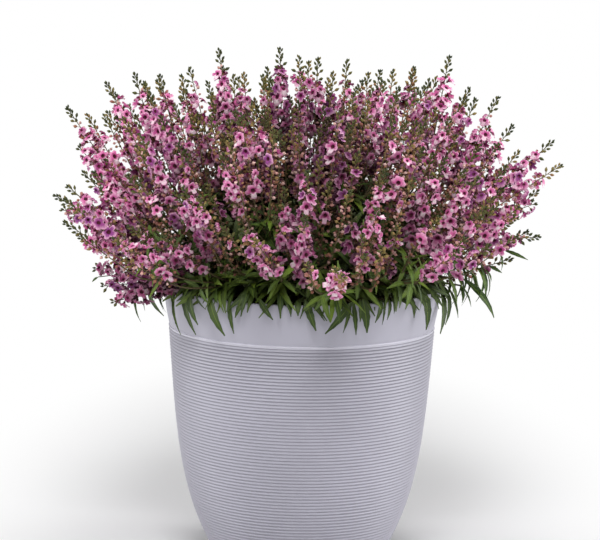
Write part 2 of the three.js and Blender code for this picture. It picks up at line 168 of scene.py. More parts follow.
# The leaves that the photo shows over and beside the rim, in its pixels: both ends of each, and its width.
HANGING_LEAVES = [
    (98, 277, 92, 282, 2), (139, 297, 141, 322, 3), (147, 298, 145, 311, 2), (151, 299, 164, 316, 5),
    (163, 298, 164, 309, 3), (177, 299, 181, 335, 3), (184, 299, 196, 335, 5), (191, 298, 198, 325, 6),
    (196, 302, 206, 310, 2), (210, 298, 225, 336, 7), (229, 299, 234, 334, 4), (243, 301, 235, 318, 4),
    (259, 299, 273, 320, 5), (283, 300, 281, 311, 3), (290, 300, 291, 317, 3), (298, 300, 298, 316, 5),
    (305, 300, 316, 331, 6), (326, 302, 321, 318, 2), (352, 302, 325, 334, 6), (350, 306, 343, 333, 3),
    (353, 306, 356, 335, 4), (360, 300, 360, 322, 4), (363, 299, 367, 333, 7), (381, 305, 375, 323, 4),
    (384, 304, 382, 325, 2), (389, 301, 387, 320, 3), (393, 299, 394, 314, 2), (400, 301, 408, 305, 3),
    (411, 297, 414, 318, 4), (422, 289, 426, 330, 7), (439, 289, 440, 334, 7), (444, 289, 445, 325, 5),
    (447, 288, 458, 318, 3), (460, 285, 462, 303, 4), (462, 291, 471, 307, 2), (463, 279, 494, 318, 6),
    (472, 274, 476, 291, 3), (478, 269, 484, 303, 3), (482, 269, 487, 291, 3), (487, 271, 491, 282, 2),
    (489, 266, 502, 273, 3), (498, 250, 501, 271, 2), (504, 250, 528, 260, 3),
]
HANGING_ROOT = 151 * MM
HANGING_TIP = 161 * MM
HANGING_SLANT = 1.35
NEAR_SIDE = 20 * MM

# The leaves: how each kind bends, its width over its length, and the gap between pairs on a stem.
LEAF_BENDS = (0.25, 0.7, 1.15, 1.7)
LEAF_SLIM = 0.16
LEAF_GAP = 10 * MM

# The mound of leaves in the heart of the bush.
MOUND_LEAVES = 360 * PLANTS
MOUND_WIDTH = 118 * MM
MOUND_WAIST = 326 * MM
MOUND_RISE = 70 * MM

# The floret's lobes, anticlockwise from its right: where each points, in degrees, and how far it reaches.
LOBES = [(57, 0.86), (123, 0.86), (193, 1.0), (270, 1.16), (347, 1.0)]
NOTCH = 0.62
FLORET_STAND = 9 * MM
# How far back each kind of floret is bent and cupped.
FLORET_CUPS = ((0.0, 0.0), (-0.25, 0.15), (0.3, -0.1), (0.1, -0.45), (-0.1, 0.4))

# The camera looks at the plant from the front, a little from above. Its sensor is 36 mm wide.
TARGET = Vector((-2.8 * MM, 0, 325.3 * MM))
PHOTO_WIDTH = 600
PHOTO_HEIGHT = 540
SENSOR = 36

# The lamps: name, place, width and height in metres, and power in watts. All look at one point.
LAMPS = (
    ("overhead", (0, 0, 2.6), (2.6, 2.6), 15),
    ("key", (0, -1.9, 2.45), (1.1, 0.9), 37),
    ("front", (-0.3, -2.4, 2.3), (1.6, 1.2), 22.5),
    ("left", (-2.0, 0.1, 0.9), (0.8, 1.8), 22),
    ("right", (2.0, 0.1, 0.9), (0.8, 1.8), 30.8),
)
LAMP_AIM = Vector((0, 0, 0.35))
FLOOR_RADIUS = 60.0


def metres(label, text, size):
    return FloatProperty(name=label, description=text, default=size, unit="LENGTH")


def degrees(label, text, angle):
    return FloatProperty(name=label, description=text, default=radians(angle), unit="ROTATION")


def tone(label, text, channels):
    return FloatVectorProperty(name=label, description=text, default=channels, subtype="COLOR")


class PlanterSettings(bpy.types.PropertyGroup):
    rib_pitch: metres("Rib pitch", "Height from one rib to the next", 3.62 * MM)
    rib_depth: metres("Rib depth", "How far the ribs stand out of the wall", 0.65 * MM)
    colour: tone("Plastic", "Colour of the planter", (0.405, 0.396, 0.462))
    soil: tone("Potting mix", "Colour of the moist mix", (0.045, 0.027, 0.017))


class FlowerSettings(bpy.types.PropertyGroup):
    radius: metres("Floret radius", "Reach of a floret's side lobes", 7.6 * MM)
    pitch: metres("Floret pitch", "Height from one floret to the next", 2.65 * MM)
    bright: tone("Petal", "Pink of the brightest lobes", (0.83, 0.185, 0.46))
    deep: tone("Petal shade", "Magenta of the darker lobes", (0.38, 0.05, 0.205))
    purple: tone("Petal purple", "Purple of the darkest lobes", (0.26, 0.06, 0.25))
    edge: tone("Petal edge", "Pale pink of the lobes' edges", (0.98, 0.56, 0.75))
    # The lip patch is partly a pale marking and partly a painted highlight.
    patch: tone("Lip patch", "Near-white patch of the lower lip", (0.97, 0.84, 0.87))
    throat: tone("Throat", "Maroon of the throat", (0.075, 0.005, 0.018))


class LeafSettings(bpy.types.PropertyGroup):
    length: metres("Leaf length", "Length of a full leaf", 48 * MM)
    width: metres("Leaf width", "Width of a full leaf", 7.6 * MM)
    young: tone("Young leaf", "Green of the young leaves", (0.17, 0.26, 0.023))
    old: tone("Old leaf", "Green of the old leaves", (0.026, 0.062, 0.011))
    stem: tone("Stem", "Green of the stems", (0.12, 0.115, 0.04))


class StageSettings(bpy.types.PropertyGroup):
    floor: tone("Floor", "Colour of the floor", (0.92, 0.92, 0.925))
    # The floor turns white by glowing, as painted light.
    fade_start: metres("Fade start", "Where the floor starts to turn white", 0.2)
    fade_end: metres("Fade end", "Where the floor is as white as the room", 0.48)
    fade_shape: FloatProperty(
        name="Fade shape", description="Width of the fading floor's oval over its depth", default=0.36
    )
    room: FloatProperty(name="Room light", description="Strength of the light from all round", default=0.1)
    lens: FloatProperty(name="Lens", description="The camera's lens in millimetres", default=154.5)
    distance: metres("Distance", "From the camera to the plant", 2.85)
    elevation: degrees("Elevation", "The camera's angle above level", 8.5)
    roll: degrees("Roll", "How far the camera is tipped to its left", 0.87)
    sides: IntProperty(name="Floor sides", description="Sides of the round floor", default=96)


def maths(operation, swapped=False):
    """A method of a value that adds a Math node, with the value as its last term if swapped."""

    def method(value, *others):
        terms = (*others, value) if swapped else (value, *others)
        node = value.graph.add("ShaderNodeMath", dict(enumerate(terms)), operation=operation)
        return Value(value.graph, node.outputs[0])

    return method


class Value:
    """A number that a shader works out. Plain expressions on values add Math nodes."""

    def __init__(self, graph, socket):
        self.graph = graph
        self.socket = socket

    absolute = maths("ABSOLUTE")
    sine = maths("SINE")
    fraction = maths("FRACT")
    __add__ = __radd__ = maths("ADD")
    __sub__ = maths("SUBTRACT")
    __rsub__ = maths("SUBTRACT", swapped=True)
    __mul__ = __rmul__ = maths("MULTIPLY")
    __pow__ = maths("POWER")

    def step(self, low, high):
        """Rises smoothly from 0 to 1 as the value goes from low to high."""
        sockets = {"Value": self, "From Min": low, "From Max": high}
        node = self.graph.add("ShaderNodeMapRange", sockets, interpolation_type="SMOOTHSTEP")
        return Value(self.graph, node.outputs[0])


class Graph:
    """The nodes of one material, world or geometry tree."""

    def __init__(self, tree, material=None):
        self.tree = tree
        self.material = material

    def feed(self, node, sockets):
        """Gives a node's sockets their values or links."""
        for name, value in sockets.items():
            value = value.socket if isinstance(value, Value) else value
            if isinstance(value, bpy.types.NodeSocket):
                self.tree.links.new(value, node.inputs[name])
            else:
                node.inputs[name].default_value = value

    def add(self, kind, sockets=None, **settings):
        """Adds a node: its settings first, and then the values or links of its sockets."""
        node = self.tree.nodes.new(kind)
        self.set_stops(node, settings.pop("stops", ()))
        for name, setting in settings.items():
            setattr(node, name, setting)
        self.feed(node, sockets or {})
        return node

    @staticmethod
    def set_stops(node, stops):
        for k, (place, colour) in enumerate(stops):
            elements = node.color_ramp.elements
            element = elements[k] if k < len(elements) else elements.new(place)
            element.position = place
            element.color = (*colour, 1)

    def attribute(self, name):
        return Value(self, self.add("ShaderNodeAttribute", attribute_name=name).outputs["Fac"])

    def parts(self, vector):
        return [Value(self, output) for output in self.add("ShaderNodeSeparateXYZ", {0: vector}).outputs]

    def uv(self):
        """The two coordinates of the piece's own UV map."""
        return self.parts(self.add("ShaderNodeUVMap", uv_map="UVMap").outputs[0])[:2]

    def place(self):
        """The three coordinates of the piece in the frame."""
        return self.parts(self.add("ShaderNodeTexCoord").outputs["Object"])

    def noise(self, scale, detail, roughness=0.5):
        place = self.add("ShaderNodeTexCoord").outputs["Object"]
        sockets = {"Vector": place, "Scale": scale, "Detail": detail, "Roughness": roughness}
        return Value(self, self.add("ShaderNodeTexNoise", sockets).outputs["Fac"])

    def mix(self, share, *colours):
        """A colour between two colours."""
        first, second = (hue if isinstance(hue, bpy.types.NodeSocket) else (*hue, 1) for hue in colours)
        return self.add("ShaderNodeMix", {0: share, 6: first, 7: second}, data_type="RGBA").outputs[2]

    def ramp(self, value, stops):
        return self.add("ShaderNodeValToRGB", {0: value}, stops=stops).outputs[0]

    def shaded(self, colour, near, far, share, shade):
        """Mixes a colour with a dark colour as painted shade in the heart of the bush, less from the near to
        the far distance.
        """
        x, y, z = self.place()
        up = z - HEART.z
        inside = ((x * x + y * y + up * up) ** 0.5).step(far, near)
        return self.mix(inside * share, colour, shade)

    def finish(self, colour, roughness, specular=0.5, bump=None):
        """The material with its shader fed. A bump is a height with its strength and its distance."""
        sockets = {"Base Color": colour, "Roughness": roughness, "Specular IOR Level": specular}
        if bump:
            relief = dict(zip(("Height", "Strength", "Distance"), bump))
            sockets["Normal"] = self.add("ShaderNodeBump", relief).outputs[0]
        self.feed(self.tree.nodes["Principled BSDF"], sockets)
        return self.material


def new_finish(name):
    """The graph of a new material."""
    material = bpy.data.materials.new(name)
    material.use_nodes = True
    return Graph(material.node_tree, material)


def times(factor, colour):
    """A lighter or darker shade of a colour."""
    return tuple(factor * channel for channel in colour)


def plastic_finish(settings):
    """Matte plastic with faint mottling, a fine grain, painted shade that darkens the grooves, and a painted
    highlight on the bead at the shoulder.
    """
    graph = new_finish("matte_lavender_plastic")
    base = settings.colour
    mottle = graph.noise(9, 3)
    scuff = graph.noise(60, 5, 0.7).step(0.6, 0.78)
    colour = graph.mix(mottle, times(0.88, base), times(1.16, base))
    colour = graph.mix(scuff * 0.12, colour, (0.75, 0.74, 0.8))
    height = graph.place()[2]
    fall = (RIBS_TOP - height) * (1 / settings.rib_pitch)
    # Painted shade: the grooves between the ribs and their undersides are darkened, more strongly on the
    # upper ribs near the rim.
    groove_shade = fall.fraction().step(0.38, 0.08) + fall.fraction().step(0.64, 0.84)
    ribbed = height.step(FOOT, FOOT + MM) * fall.step(-0.12, 0.02)
    shade = ribbed * groove_shade * (0.27 + 0.3 * height.step(0.6 * RIBS_TOP, RIBS_TOP))
    colour = graph.mix(shade, colour, times(0.3, base))
    # Painted highlight: a pale line along the bead at the shoulder.
    bead = height.step(RIBS_TOP, RIBS_TOP + BEAD)
    bead *= height.step(RIBS_TOP + 4 * BEAD, RIBS_TOP + 2.6 * BEAD)
    colour = graph.mix(bead * 0.5, colour, (0.8, 0.79, 0.88))
    return graph.finish(colour, 0.46 + 0.14 * mottle + 0.06 * scuff, 0.4, (graph.noise(900, 2), 0.25, 0.0002))


def soil_finish(settings):
    """Moist, crumbly potting mix with pale specks of perlite and bark."""
    graph = new_finish("moist_potting_mix")
    clods = graph.noise(160, 5, 0.7)
    specks = graph.noise(420, 1).step(0.7, 0.74)
    colour = graph.mix(clods.step(0.35, 0.75), settings.soil, times(2.6, settings.soil))
    colour = graph.mix(specks * 0.8, colour, (0.55, 0.52, 0.46))
    return graph.finish(colour, 0.95 - 0.2 * clods, bump=(clods, 0.8, 0.002))


def petal_finish(settings):
    """Velvety petals: a maroon throat, pink lobes with paler edges, a near-white patch on the lip that is
    partly a pale marking and partly a painted highlight, and painted shade in the heart of the bush.
    """
    graph = new_finish("mauve_petal")
    turn, reach = graph.uv()
    tint = graph.attribute("tint")
    lobe = graph.ramp(tint, [(0.0, settings.purple), (0.35, settings.deep), (0.9, settings.bright)])
    lobe = graph.mix(reach.step(0.6, 1.0) * 0.7, lobe, settings.edge)
    # The near-white patch on the lower lip: partly a pale marking, partly a painted highlight.
    lip = (turn - 0.75).absolute().step(0.2, 0.07)
    patch = lip * reach.step(0.38, 0.5) * reach.step(1.0, 0.8) * tint.step(0.25, 0.7)
    lobe = graph.mix(patch * 0.92, lobe, settings.patch)
    streaks = graph.noise(700, 2).step(0.45, 0.7)
    lobe = graph.mix(streaks * 0.25, lobe, settings.deep)
    colour = graph.mix(reach.step(0.42, 0.24), lobe, settings.throat)
    # Painted shade in the heart of the bush.
    colour = graph.shaded(colour, 0.15, 0.26, 0.88, (0.055, 0.010, 0.018))
    return graph.finish(colour, 0.6 - 0.15 * streaks, 0.22, (streaks, 0.2, 0.0004))


def bud_finish():
    """Buds and capsules, dark green through yellow-green and olive to a dusty pink as their tint rises."""
    graph = new_finish("bud_green")
    grain = graph.noise(650, 3)
    stops = [
        (0.0, (0.030, 0.045, 0.017)),
        (0.3, (0.10, 0.105, 0.028)),
        (0.45, (0.26, 0.20, 0.06)),
        (0.6, (0.31, 0.16, 0.075)),
        (0.75, (0.37, 0.135, 0.105)),
        (0.88, (0.58, 0.30, 0.26)),
        (1.0, (0.80, 0.56, 0.50)),
    ]
    colour = graph.ramp(graph.attribute("tint") + 0.3 * (grain - 0.5), stops)
    # Painted shade in the heart of the bush.
    colour = graph.shaded(colour, 0.15, 0.25, 0.85, (0.045, 0.015, 0.008))
    return graph.finish(colour, 0.5 + 0.25 * grain, 0.28, (grain, 0.4, 0.0004))


def leaf_finish(settings):
    """Satin leaves with a paler midrib, side veins, and greens that differ from leaf to leaf."""
    graph = new_finish("satin_leaf")
    aside, along = graph.uv()
    away = (aside - 0.5).absolute()
    blotch = graph.noise(70, 3)
    share = (graph.attribute("tint") + 0.4 * (blotch - 0.5)).step(0.15, 1.15)
    colour = graph.mix(share, settings.old, settings.young)
    vein = (110 * (along - 0.55 * away)).sine().step(0.55, 1.0)
    pale = times(1.5, settings.young)
    colour = graph.mix(vein * 0.2, colour, pale)
    colour = graph.mix(away.step(0.07, 0.015) * 0.45, colour, pale)
    # Painted shade in the heart of the bush.
    colour = graph.shaded(colour, 0.09, 0.2, 0.75, (0.03, 0.014, 0.008))
    return graph.finish(colour, 0.38 + 0.2 * blotch, 0.35, (vein + blotch, 0.35, 0.0005))


def stem_finish(settings):
    """Pale green stems, darker towards the soil, with painted shade in the heart of the bush."""
    graph = new_finish("stem_green")
    height = graph.place()[2]
    fibres = graph.noise(400, 3)
    # Darker towards the soil.
    colour = graph.mix(height.step(0.31, 0.42), times(0.45, settings.stem), settings.stem)
    colour = graph.mix(fibres * 0.5, colour, (0.16, 0.13, 0.05))
    # Painted shade in the heart of the bush.
    colour = graph.shaded(colour, 0.12, 0.24, 0.75, (0.035, 0.015, 0.008))
    return graph.finish(colour, 0.55 + 0.2 * fibres, 0.3, (fibres, 0.4, 0.0004))


def floor_finish(settings):
    """A pale, matte floor that runs into the white of the room some way from the planter, where it glows
    white as painted light.
    """
    graph = new_finish("pale_floor")
    x, y, _ = graph.place()
    depth = settings.fade_shape * y
    share = ((x * x + depth * depth) ** 0.5).step(settings.fade_start, settings.fade_end)
    colour = graph.mix(graph.noise(3, 2), settings.floor, times(0.985, settings.floor))
    material = graph.finish(colour, 0.9, 0.1)
    nodes = material.node_tree.nodes
    # Painted light: beyond the oval the floor glows white, hiding how the lamps' light falls off.
    painted_glow = graph.add("ShaderNodeEmission", {"Color": (1, 1, 1, 1), "Strength": 1.0})
    shaders = {0: share, 1: nodes["Principled BSDF"].outputs[0], 2: painted_glow.outputs[0]}
    graph.feed(nodes["Material Output"], {0: graph.add("ShaderNodeMixShader", shaders).outputs[0]})
    return material


def room_light(settings):
    """A white room, dimmer as a light than it looks."""
    world = bpy.data.worlds.new("white_room")
    world.use_nodes = True
    graph = Graph(world.node_tree)
    seen = Value(graph, graph.add("ShaderNodeLightPath").outputs["Is Camera Ray"])
    sockets = {"Color": (1, 1, 1, 1), "Strength": settings.room + (1 - settings.room) * seen}
    graph.feed(world.node_tree.nodes["Background"], sockets)
    return world


class Draws:
    """Random draws that are the same in every run."""

    def __init__(self, seed):
        self.source = np.random.default_rng(seed)

    def __call__(self, low=0.0, high=1.0):
        return self.source.uniform(low, high)

    def whole(self, low, high):
        return int(self.source.integers(low, high))

    def pick(self, *shares):
        """A kind, drawn by the shares of all kinds."""
        return int(self.source.choice(len(shares), p=shares))

    def vector(self):
        return Vector(self.source.normal(size=3))


def new_object(name, points, faces=(), edges=()):
    mesh = bpy.data.meshes.new(name)
    mesh.from_pydata([tuple(point) for point in points], list(edges), [tuple(face) for face in faces])
    return bpy.data.objects.new(name, mesh)


def set_attribute(mesh, name, kind, values):
    data = mesh.attributes.new(name, kind, "POINT").data
    data.foreach_set("vector" if kind == "FLOAT_VECTOR" else "value", np.asarray(values).ravel())


def linked(thing):
    bpy.context.scene.collection.objects.link(thing)
    return thing


def smooth_piece(name, points, faces, finish):
    """A piece of one mesh, shaded smooth."""
    piece = linked(new_object(name, points, faces))
    piece.data.materials.append(finish)
    piece.data.shade_smooth()
    return piece


def dressed(piece, slot, *nodes):
    """Makes a piece part of the object, and hides the CAD nodes that it stands for. Its slot is not used."""
    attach(piece, "root")
    if nodes:
        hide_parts(*nodes)


def new_tree(name, sockets):
    """A geometry tree with named inputs."""
    tree = bpy.data.node_groups.new(name, "GeometryNodeTree")
    for label, kind in {"Geometry": "Geometry", **sockets}.items():
        tree.interface.new_socket(label, in_out="INPUT", socket_type=f"NodeSocket{kind}")
    tree.interface.new_socket("Geometry", in_out="OUTPUT", socket_type="NodeSocketGeometry")
    graph = Graph(tree)
    return graph, graph.add("NodeGroupInput").outputs


def end_tree(graph, geometry, finish):
    """Ends a tree in one realized mesh with its material."""
    real = graph.add("GeometryNodeRealizeInstances", {0: geometry})
    done = graph.add("GeometryNodeSetMaterial", {"Geometry": real.outputs[0], "Material": finish})
    graph.add("NodeGroupOutput", {0: done.outputs[0]})
    return graph.tree


def named(graph, name, kind):
    return graph.add("GeometryNodeInputNamedAttribute", {"Name": name}, data_type=kind).outputs[0]


@functools.cache
def scatter_tree():
    """Puts a copy of a shape on every seat, turned, sized and chosen by the seat's own attributes."""
    inputs = {"Shapes": "Collection", "Size": "Float", "Finish": "Material"}
    graph, given = new_tree("scatter_on_seats", inputs)
    sockets = {"Collection": given["Shapes"], "Separate Children": True, "Reset Children": True}
    shapes = graph.add("GeometryNodeCollectionInfo", sockets, transform_space="ORIGINAL")
    sockets = {0: named(graph, "size", "FLOAT_VECTOR"), "Scale": given["Size"]}
    size = graph.add("ShaderNodeVectorMath", sockets, operation="SCALE")
    sockets = {
        "Points": given["Geometry"],
        "Instance": shapes.outputs[0],
        "Pick Instance": True,
        "Instance Index": named(graph, "kind", "INT"),
        "Rotation": named(graph, "turn", "FLOAT_VECTOR"),
        "Scale": size.outputs[0],
    }
    copies = graph.add("GeometryNodeInstanceOnPoints", sockets)
    return end_tree(graph, copies.outputs[0], given["Finish"])


@functools.cache
def stem_tree():
    """Runs a round stem along every path, as thick as the path's own attribute says."""
    graph, given = new_tree("stems_on_paths", {"Sides": "Int", "Thickness": "Float", "Finish": "Material"})
    curve = graph.add("GeometryNodeMeshToCurve", {0: given["Geometry"]}).outputs[0]
    radius = Value(graph, named(graph, "thickness", "FLOAT")) * given["Thickness"]
    sockets = {"Resolution": given["Sides"], "Radius": 1.0}
    section = graph.add("GeometryNodeCurvePrimitiveCircle", sockets).outputs[0]
    sockets = {"Curve": curve, "Profile Curve": section, "Scale": radius, "Fill Caps": True}
    tube = graph.add("GeometryNodeCurveToMesh", sockets)
    return end_tree(graph, tube.outputs[0], given["Finish"])


def grown(thing, tree, values):
    """Runs a geometry tree on an object and keeps the result as its plain mesh."""
    modifier = linked(thing).modifiers.new(tree.name, "NODES")
    modifier.node_group = tree
    for item in tree.interface.items_tree:
        if item.in_out == "INPUT" and item.name in values:
            modifier[item.identifier] = values[item.name]
    graph = bpy.context.evaluated_depsgraph_get()
    source = thing.evaluated_get(graph)
    mesh = bpy.data.meshes.new_from_object(source, preserve_all_data_layers=True, depsgraph=graph)
    thing.modifiers.clear()
    thing.data = mesh
    mesh.name = thing.name
    mesh.shade_smooth()
    return thing


class Seats:
    """Where the copies of a shape go, and how each is turned, sized, chosen and tinted."""

    def __init__(self):
        self.rows = []

    def add(self, place, front, upper, size, kind=0, tint=0.5):
        """Seats a copy whose +Z looks along front, with its +Y as near to upper as can be."""
        front = front.normalized()
        right = upper.cross(front).normalized()
        turn = Matrix((right, front.cross(right), front)).transposed().to_euler()
        self.rows.append((place, tuple(turn), size if isinstance(size, tuple) else (size,) * 3, kind, tint))

    def fill(self, name, shapes, finish):
        """The piece made of a copy of one of the shapes on every seat."""
        places, *columns = zip(*self.rows)
        thing = new_object(name, places)
        kinds = {"turn": "FLOAT_VECTOR", "size": "FLOAT_VECTOR", "kind": "INT", "tint": "FLOAT"}
        for (label, kind), values in zip(kinds.items(), columns):
            set_attribute(thing.data, label, kind, values)
        stock = bpy.data.collections.new(f"{name}_shapes")
        for k, shape in enumerate(shapes):
            shape.name = f"{name}_shape_{k}"
            stock.objects.link(shape)
        grown(thing, scatter_tree(), {"Shapes": stock, "Size": 1.0, "Finish": finish})
        for shape in shapes:
            bpy.data.objects.remove(shape)
        bpy.data.collections.remove(stock)
        return thing


def turned(profile, sides):
    """Points and faces of (radius, height) pairs turned round the Z axis, closed at the poles."""
    points = []
    rings = []
    for radius, height in profile:
        count = sides if radius > 0 else 1
        rings.append(range(len(points), len(points) + count))
        angles = [TURN * k / sides for k in range(count)]
        points += [(radius * cos(angle), radius * sin(angle), height) for angle in angles]
    faces = []
    for low, high in zip(rings, rings[1:]):
        for k in range(sides):
            corners = [(low, k), (low, k + 1), (high, k + 1), (high, k)]
            faces.append(list(dict.fromkeys(ring[place % len(ring)] for ring, place in corners)))
    return points, faces


def wall_radius(height):
    """The pot's outer radius at the crests of its ribs."""
    below = max(0.0, 1 - height / SHOULDER_HEIGHT)
    return SHOULDER_RADIUS - TAPER * below - TUCK * below**TUCK_POWER


def rim_radius(height):
    """The outer radius of the smooth, flared band above the ribs."""
    share = min(1, (height - SHOULDER_HEIGHT) / RIM_BAND)
    start = SHOULDER_RADIUS - BEAD
    return start + (RIM_RADIUS - start) * sin(share * TURN / 4)


def inner_wall(inset):
    """The inside of the pot from its floor up, as (radius, height) pairs."""
    heights = [POT_FLOOR, 46 * MM, 130 * MM, SHOULDER_HEIGHT]
    return [(wall_radius(height) - 2 * MM - WALL - inset, height) for height in heights]


def outside_pot(point, margin=1.5 * MM):
    """True where a point is clear of the pot's wall: above its rim, well inside it or well outside it."""
    away = hypot(point.x, point.y)
    outer = rim_radius(point.z) if point.z > SHOULDER_HEIGHT else wall_radius(point.z)
    return point.z > POT_TOP + margin or away > outer + margin or away < outer - WALL - 3 * MM


def rib_shape(settings):
    """A ring of radius 1 and of true height, whose long face looks up and outwards over a short underside."""
    half = settings.rib_pitch / 2
    depth = settings.rib_depth / SHOULDER_RADIUS
    root = 1 - 1.3 * depth
    section = [(root, -half), (1, 0.28 * settings.rib_pitch - half), (1 - 1.1 * depth, half), (root, -half)]
    return new_object("rib", *turned(section, POT_SIDES))


class BuildPlanter(bpy.types.Operator):
    """Builds the planter: a smooth wall with a flared rim, and fine ribs round it"""

    bl_idname = "planter.build_pot"
    bl_label = "Build planter"

    def execute(self, context):
        settings = context.scene.planter_pot
        finish = plastic_finish(settings)
        heights = [FOOT + (SHOULDER_HEIGHT - FOOT) * k / WALL_STEPS for k in range(WALL_STEPS + 1)]
        wall = [(wall_radius(height) - 1.1 * settings.rib_depth, height) for height in heights]
        bead = [
            (SHOULDER_RADIUS - BEAD + BEAD * sin(k * TURN / 12), SHOULDER_HEIGHT + BEAD * (k / 3 - 1))
            for k in range(1, 7)
        ]
        heights = [SHOULDER_HEIGHT + 1.6 * BEAD + RIM_BAND * k / 12 for k in range(12)]
        flare = [(rim_radius(height), height) for height in heights]
        lip = [
            (RIM_RADIUS - LIP / 2 + LIP / 2 * cos(k * TURN / 12), POT_TOP - LIP + LIP * sin(k * TURN / 12))
            for k in range(4)
        ]
        foot = wall_radius(0)
        base = [(0, 0), (foot - 4 * MM, 0), (foot - 1.5 * MM, 1 * MM), (foot, 4 * MM)]
        inside = [(RIM_RADIUS - WALL, POT_TOP), *reversed(inner_wall(0)), (0, POT_FLOOR)]
        points, faces = turned([*base, *wall, *bead, *flare, *lip, *inside], POT_SIDES)
        body = smooth_piece("pot_wall", points, faces, finish)
        body.data.set_sharp_from_angle(angle=radians(35))
        dressed(body, "pot", "pot")
        seats = Seats()
        for k in range(int((RIBS_TOP - FOOT) / settings.rib_pitch)):
            height = RIBS_TOP - (k + 0.5) * settings.rib_pitch
            radius = wall_radius(height)
            seats.add((0, 0, height), UP, Vector((0, 1, 0)), (radius, radius, 1))
        ribs = seats.fill("pot_ribs", [rib_shape(settings)], finish)
        ribs.data.set_sharp_from_angle(angle=radians(25))
        dressed(ribs, "pot")
        return {"FINISHED"}


def soil_height(x, y):
    """How the top of the potting mix rises and falls."""
    slow = sin(61 * x) * cos(47 * y + 1)
    quick = sin(210 * x + 2) * cos(170 * y) + 0.6 * sin(390 * y + 240 * x)
    return (1.1 * slow + 0.9 * quick) * MM


def crumb_shape(kind):
    """A small angular lump."""
    draws = Draws(LUMP_SEED + kind)
    corners = [(1, 0, 0), (-1, 0, 0), (0, 1, 0), (0, -1, 0), (0, 0, 1), (0, 0, -1)]
    points = [Vector(corner) * draws(0.6, 1.2) for corner in corners]
    faces = [(4, 0, 2), (4, 2, 1), (4, 1, 3), (4, 3, 0), (5, 2, 0), (5, 1, 2), (5, 3, 1), (5, 0, 3)]
    return new_object("crumb", points, faces)


def heap(share):
    """How high the mix is heaped at a share of the way from the middle to the wall."""
    return SOIL_EDGE + (SOIL_TOP - SOIL_EDGE) * min(1, 2.2 * (1 - share))


class BuildPottingMix(bpy.types.Operator):
    """Fills the planter with potting mix and strews crumbs over it"""

    bl_idname = "planter.build_mix"
    bl_label = "Build potting mix"

    def execute(self, context):
        finish = soil_finish(context.scene.planter_pot)
        (foot, floor), *sides = inner_wall(SOIL_GAP)
        floor += SOIL_GAP
        outer = sides[-1][0]
        top = [(outer * (1 - k / SOIL_RINGS), heap(1 - k / SOIL_RINGS)) for k in range(SOIL_RINGS + 1)]
        points, faces = turned([(0, floor), (foot, floor), *sides, *top], SOIL_SIDES)
        raised = [
            (x, y, z + soil_height(x, y) if z >= SOIL_EDGE and hypot(x, y) < 0.98 * outer else z)
            for x, y, z in points
        ]
        dressed(smooth_piece("soil", raised, faces, finish), "potting_mix", "potting_mix")
        draws = Draws(CRUMB_SEED)
        seats = Seats()
        for k in range(CRUMBS):
            away = 0.93 * outer * sqrt((k + 0.5) / CRUMBS)
            x, y = away * cos(k * GOLDEN_ANGLE), away * sin(k * GOLDEN_ANGLE)
            front = draws.vector()
            size = draws(1, 3.2) * MM
            place = (x, y, heap(away / outer) + soil_height(x, y))
            seats.add(place, front, Vector((0.3, 0.9, 0.2)), size, draws.whole(0, 3))
        dressed(seats.fill("soil_crumbs", [crumb_shape(kind) for kind in range(3)], finish), "potting_mix")
        return {"FINISHED"}


# A flowering shoot: its number and plant, the path of its stem, the base, axis and length of its flowers, the
# length of its green tip, and its share of spent flowers.
Shoot = namedtuple("Shoot", "index plant path base axis flowers tip spent")

# A leafy stem, and for a hanging leaf also where it ends and its width.
Twig = namedtuple("Twig", "plant path tip width", defaults=(None, 0))


def of_plant(rows, plant):
    return [row for row in rows if row.plant == plant]


def bezier(start, leaving, arriving, end, steps):
    """Points along a cubic curve."""
    points = []
    for t in (k / steps for k in range(steps + 1)):
        s = 1 - t
        points.append(s**3 * start + 3 * s * s * t * leaving + 3 * s * t * t * arriving + t**3 * end)
    return points


def flat(azimuth, radius=1.0, height=0.0):
    """A point at a radius in a direction round the Z axis."""
    return Vector((radius * cos(azimuth), radius * sin(azimuth), height))


def plant_azimuth(plant):
    return TURN * (plant / PLANTS - 0.25)


def plant_of(azimuth):
    """The plant whose neck is nearest to a direction."""
    away = [abs(remainder(azimuth - plant_azimuth(k), TURN)) for k in range(PLANTS)]
    return away.index(min(away))


def neck_path(azimuth, end, direction, rise=STEM_RISE, steps=12):
    """The way of a stem from its plant's neck to an end."""
    start = flat(plant_azimuth(plant_of(azimuth)), NECK_CIRCLE, NECK_TOP) + flat(azimuth, NECK_SPREAD)
    handle = STEM_LEAN * (end - start).length
    return bezier(start, start + UP * min(rise, handle), end - direction * handle, end, steps)


def spike_line(name):
    """The two ends of a CAD spike's core, from the slim rings that close it."""
    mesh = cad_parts[name].data
    points = np.empty(len(mesh.vertices) * 3)
    mesh.vertices.foreach_get("co", points)
    points = points.reshape(-1, 3)
    middle = points.mean(axis=0)
    axis = np.linalg.eigh(np.cov((points - middle).T))[1][:, 2]
    axis = axis if axis @ (middle - np.array(HEART)) > 0 else -axis
    height = (points - middle) @ axis
    slim = np.linalg.norm(points - middle - np.outer(height, axis), axis=1) < BORE_REACH
    ends = [points[slim & side].mean(axis=0) for side in (height < 0, height > 0)]
    return Vector(ends[0]), Vector(ends[1])


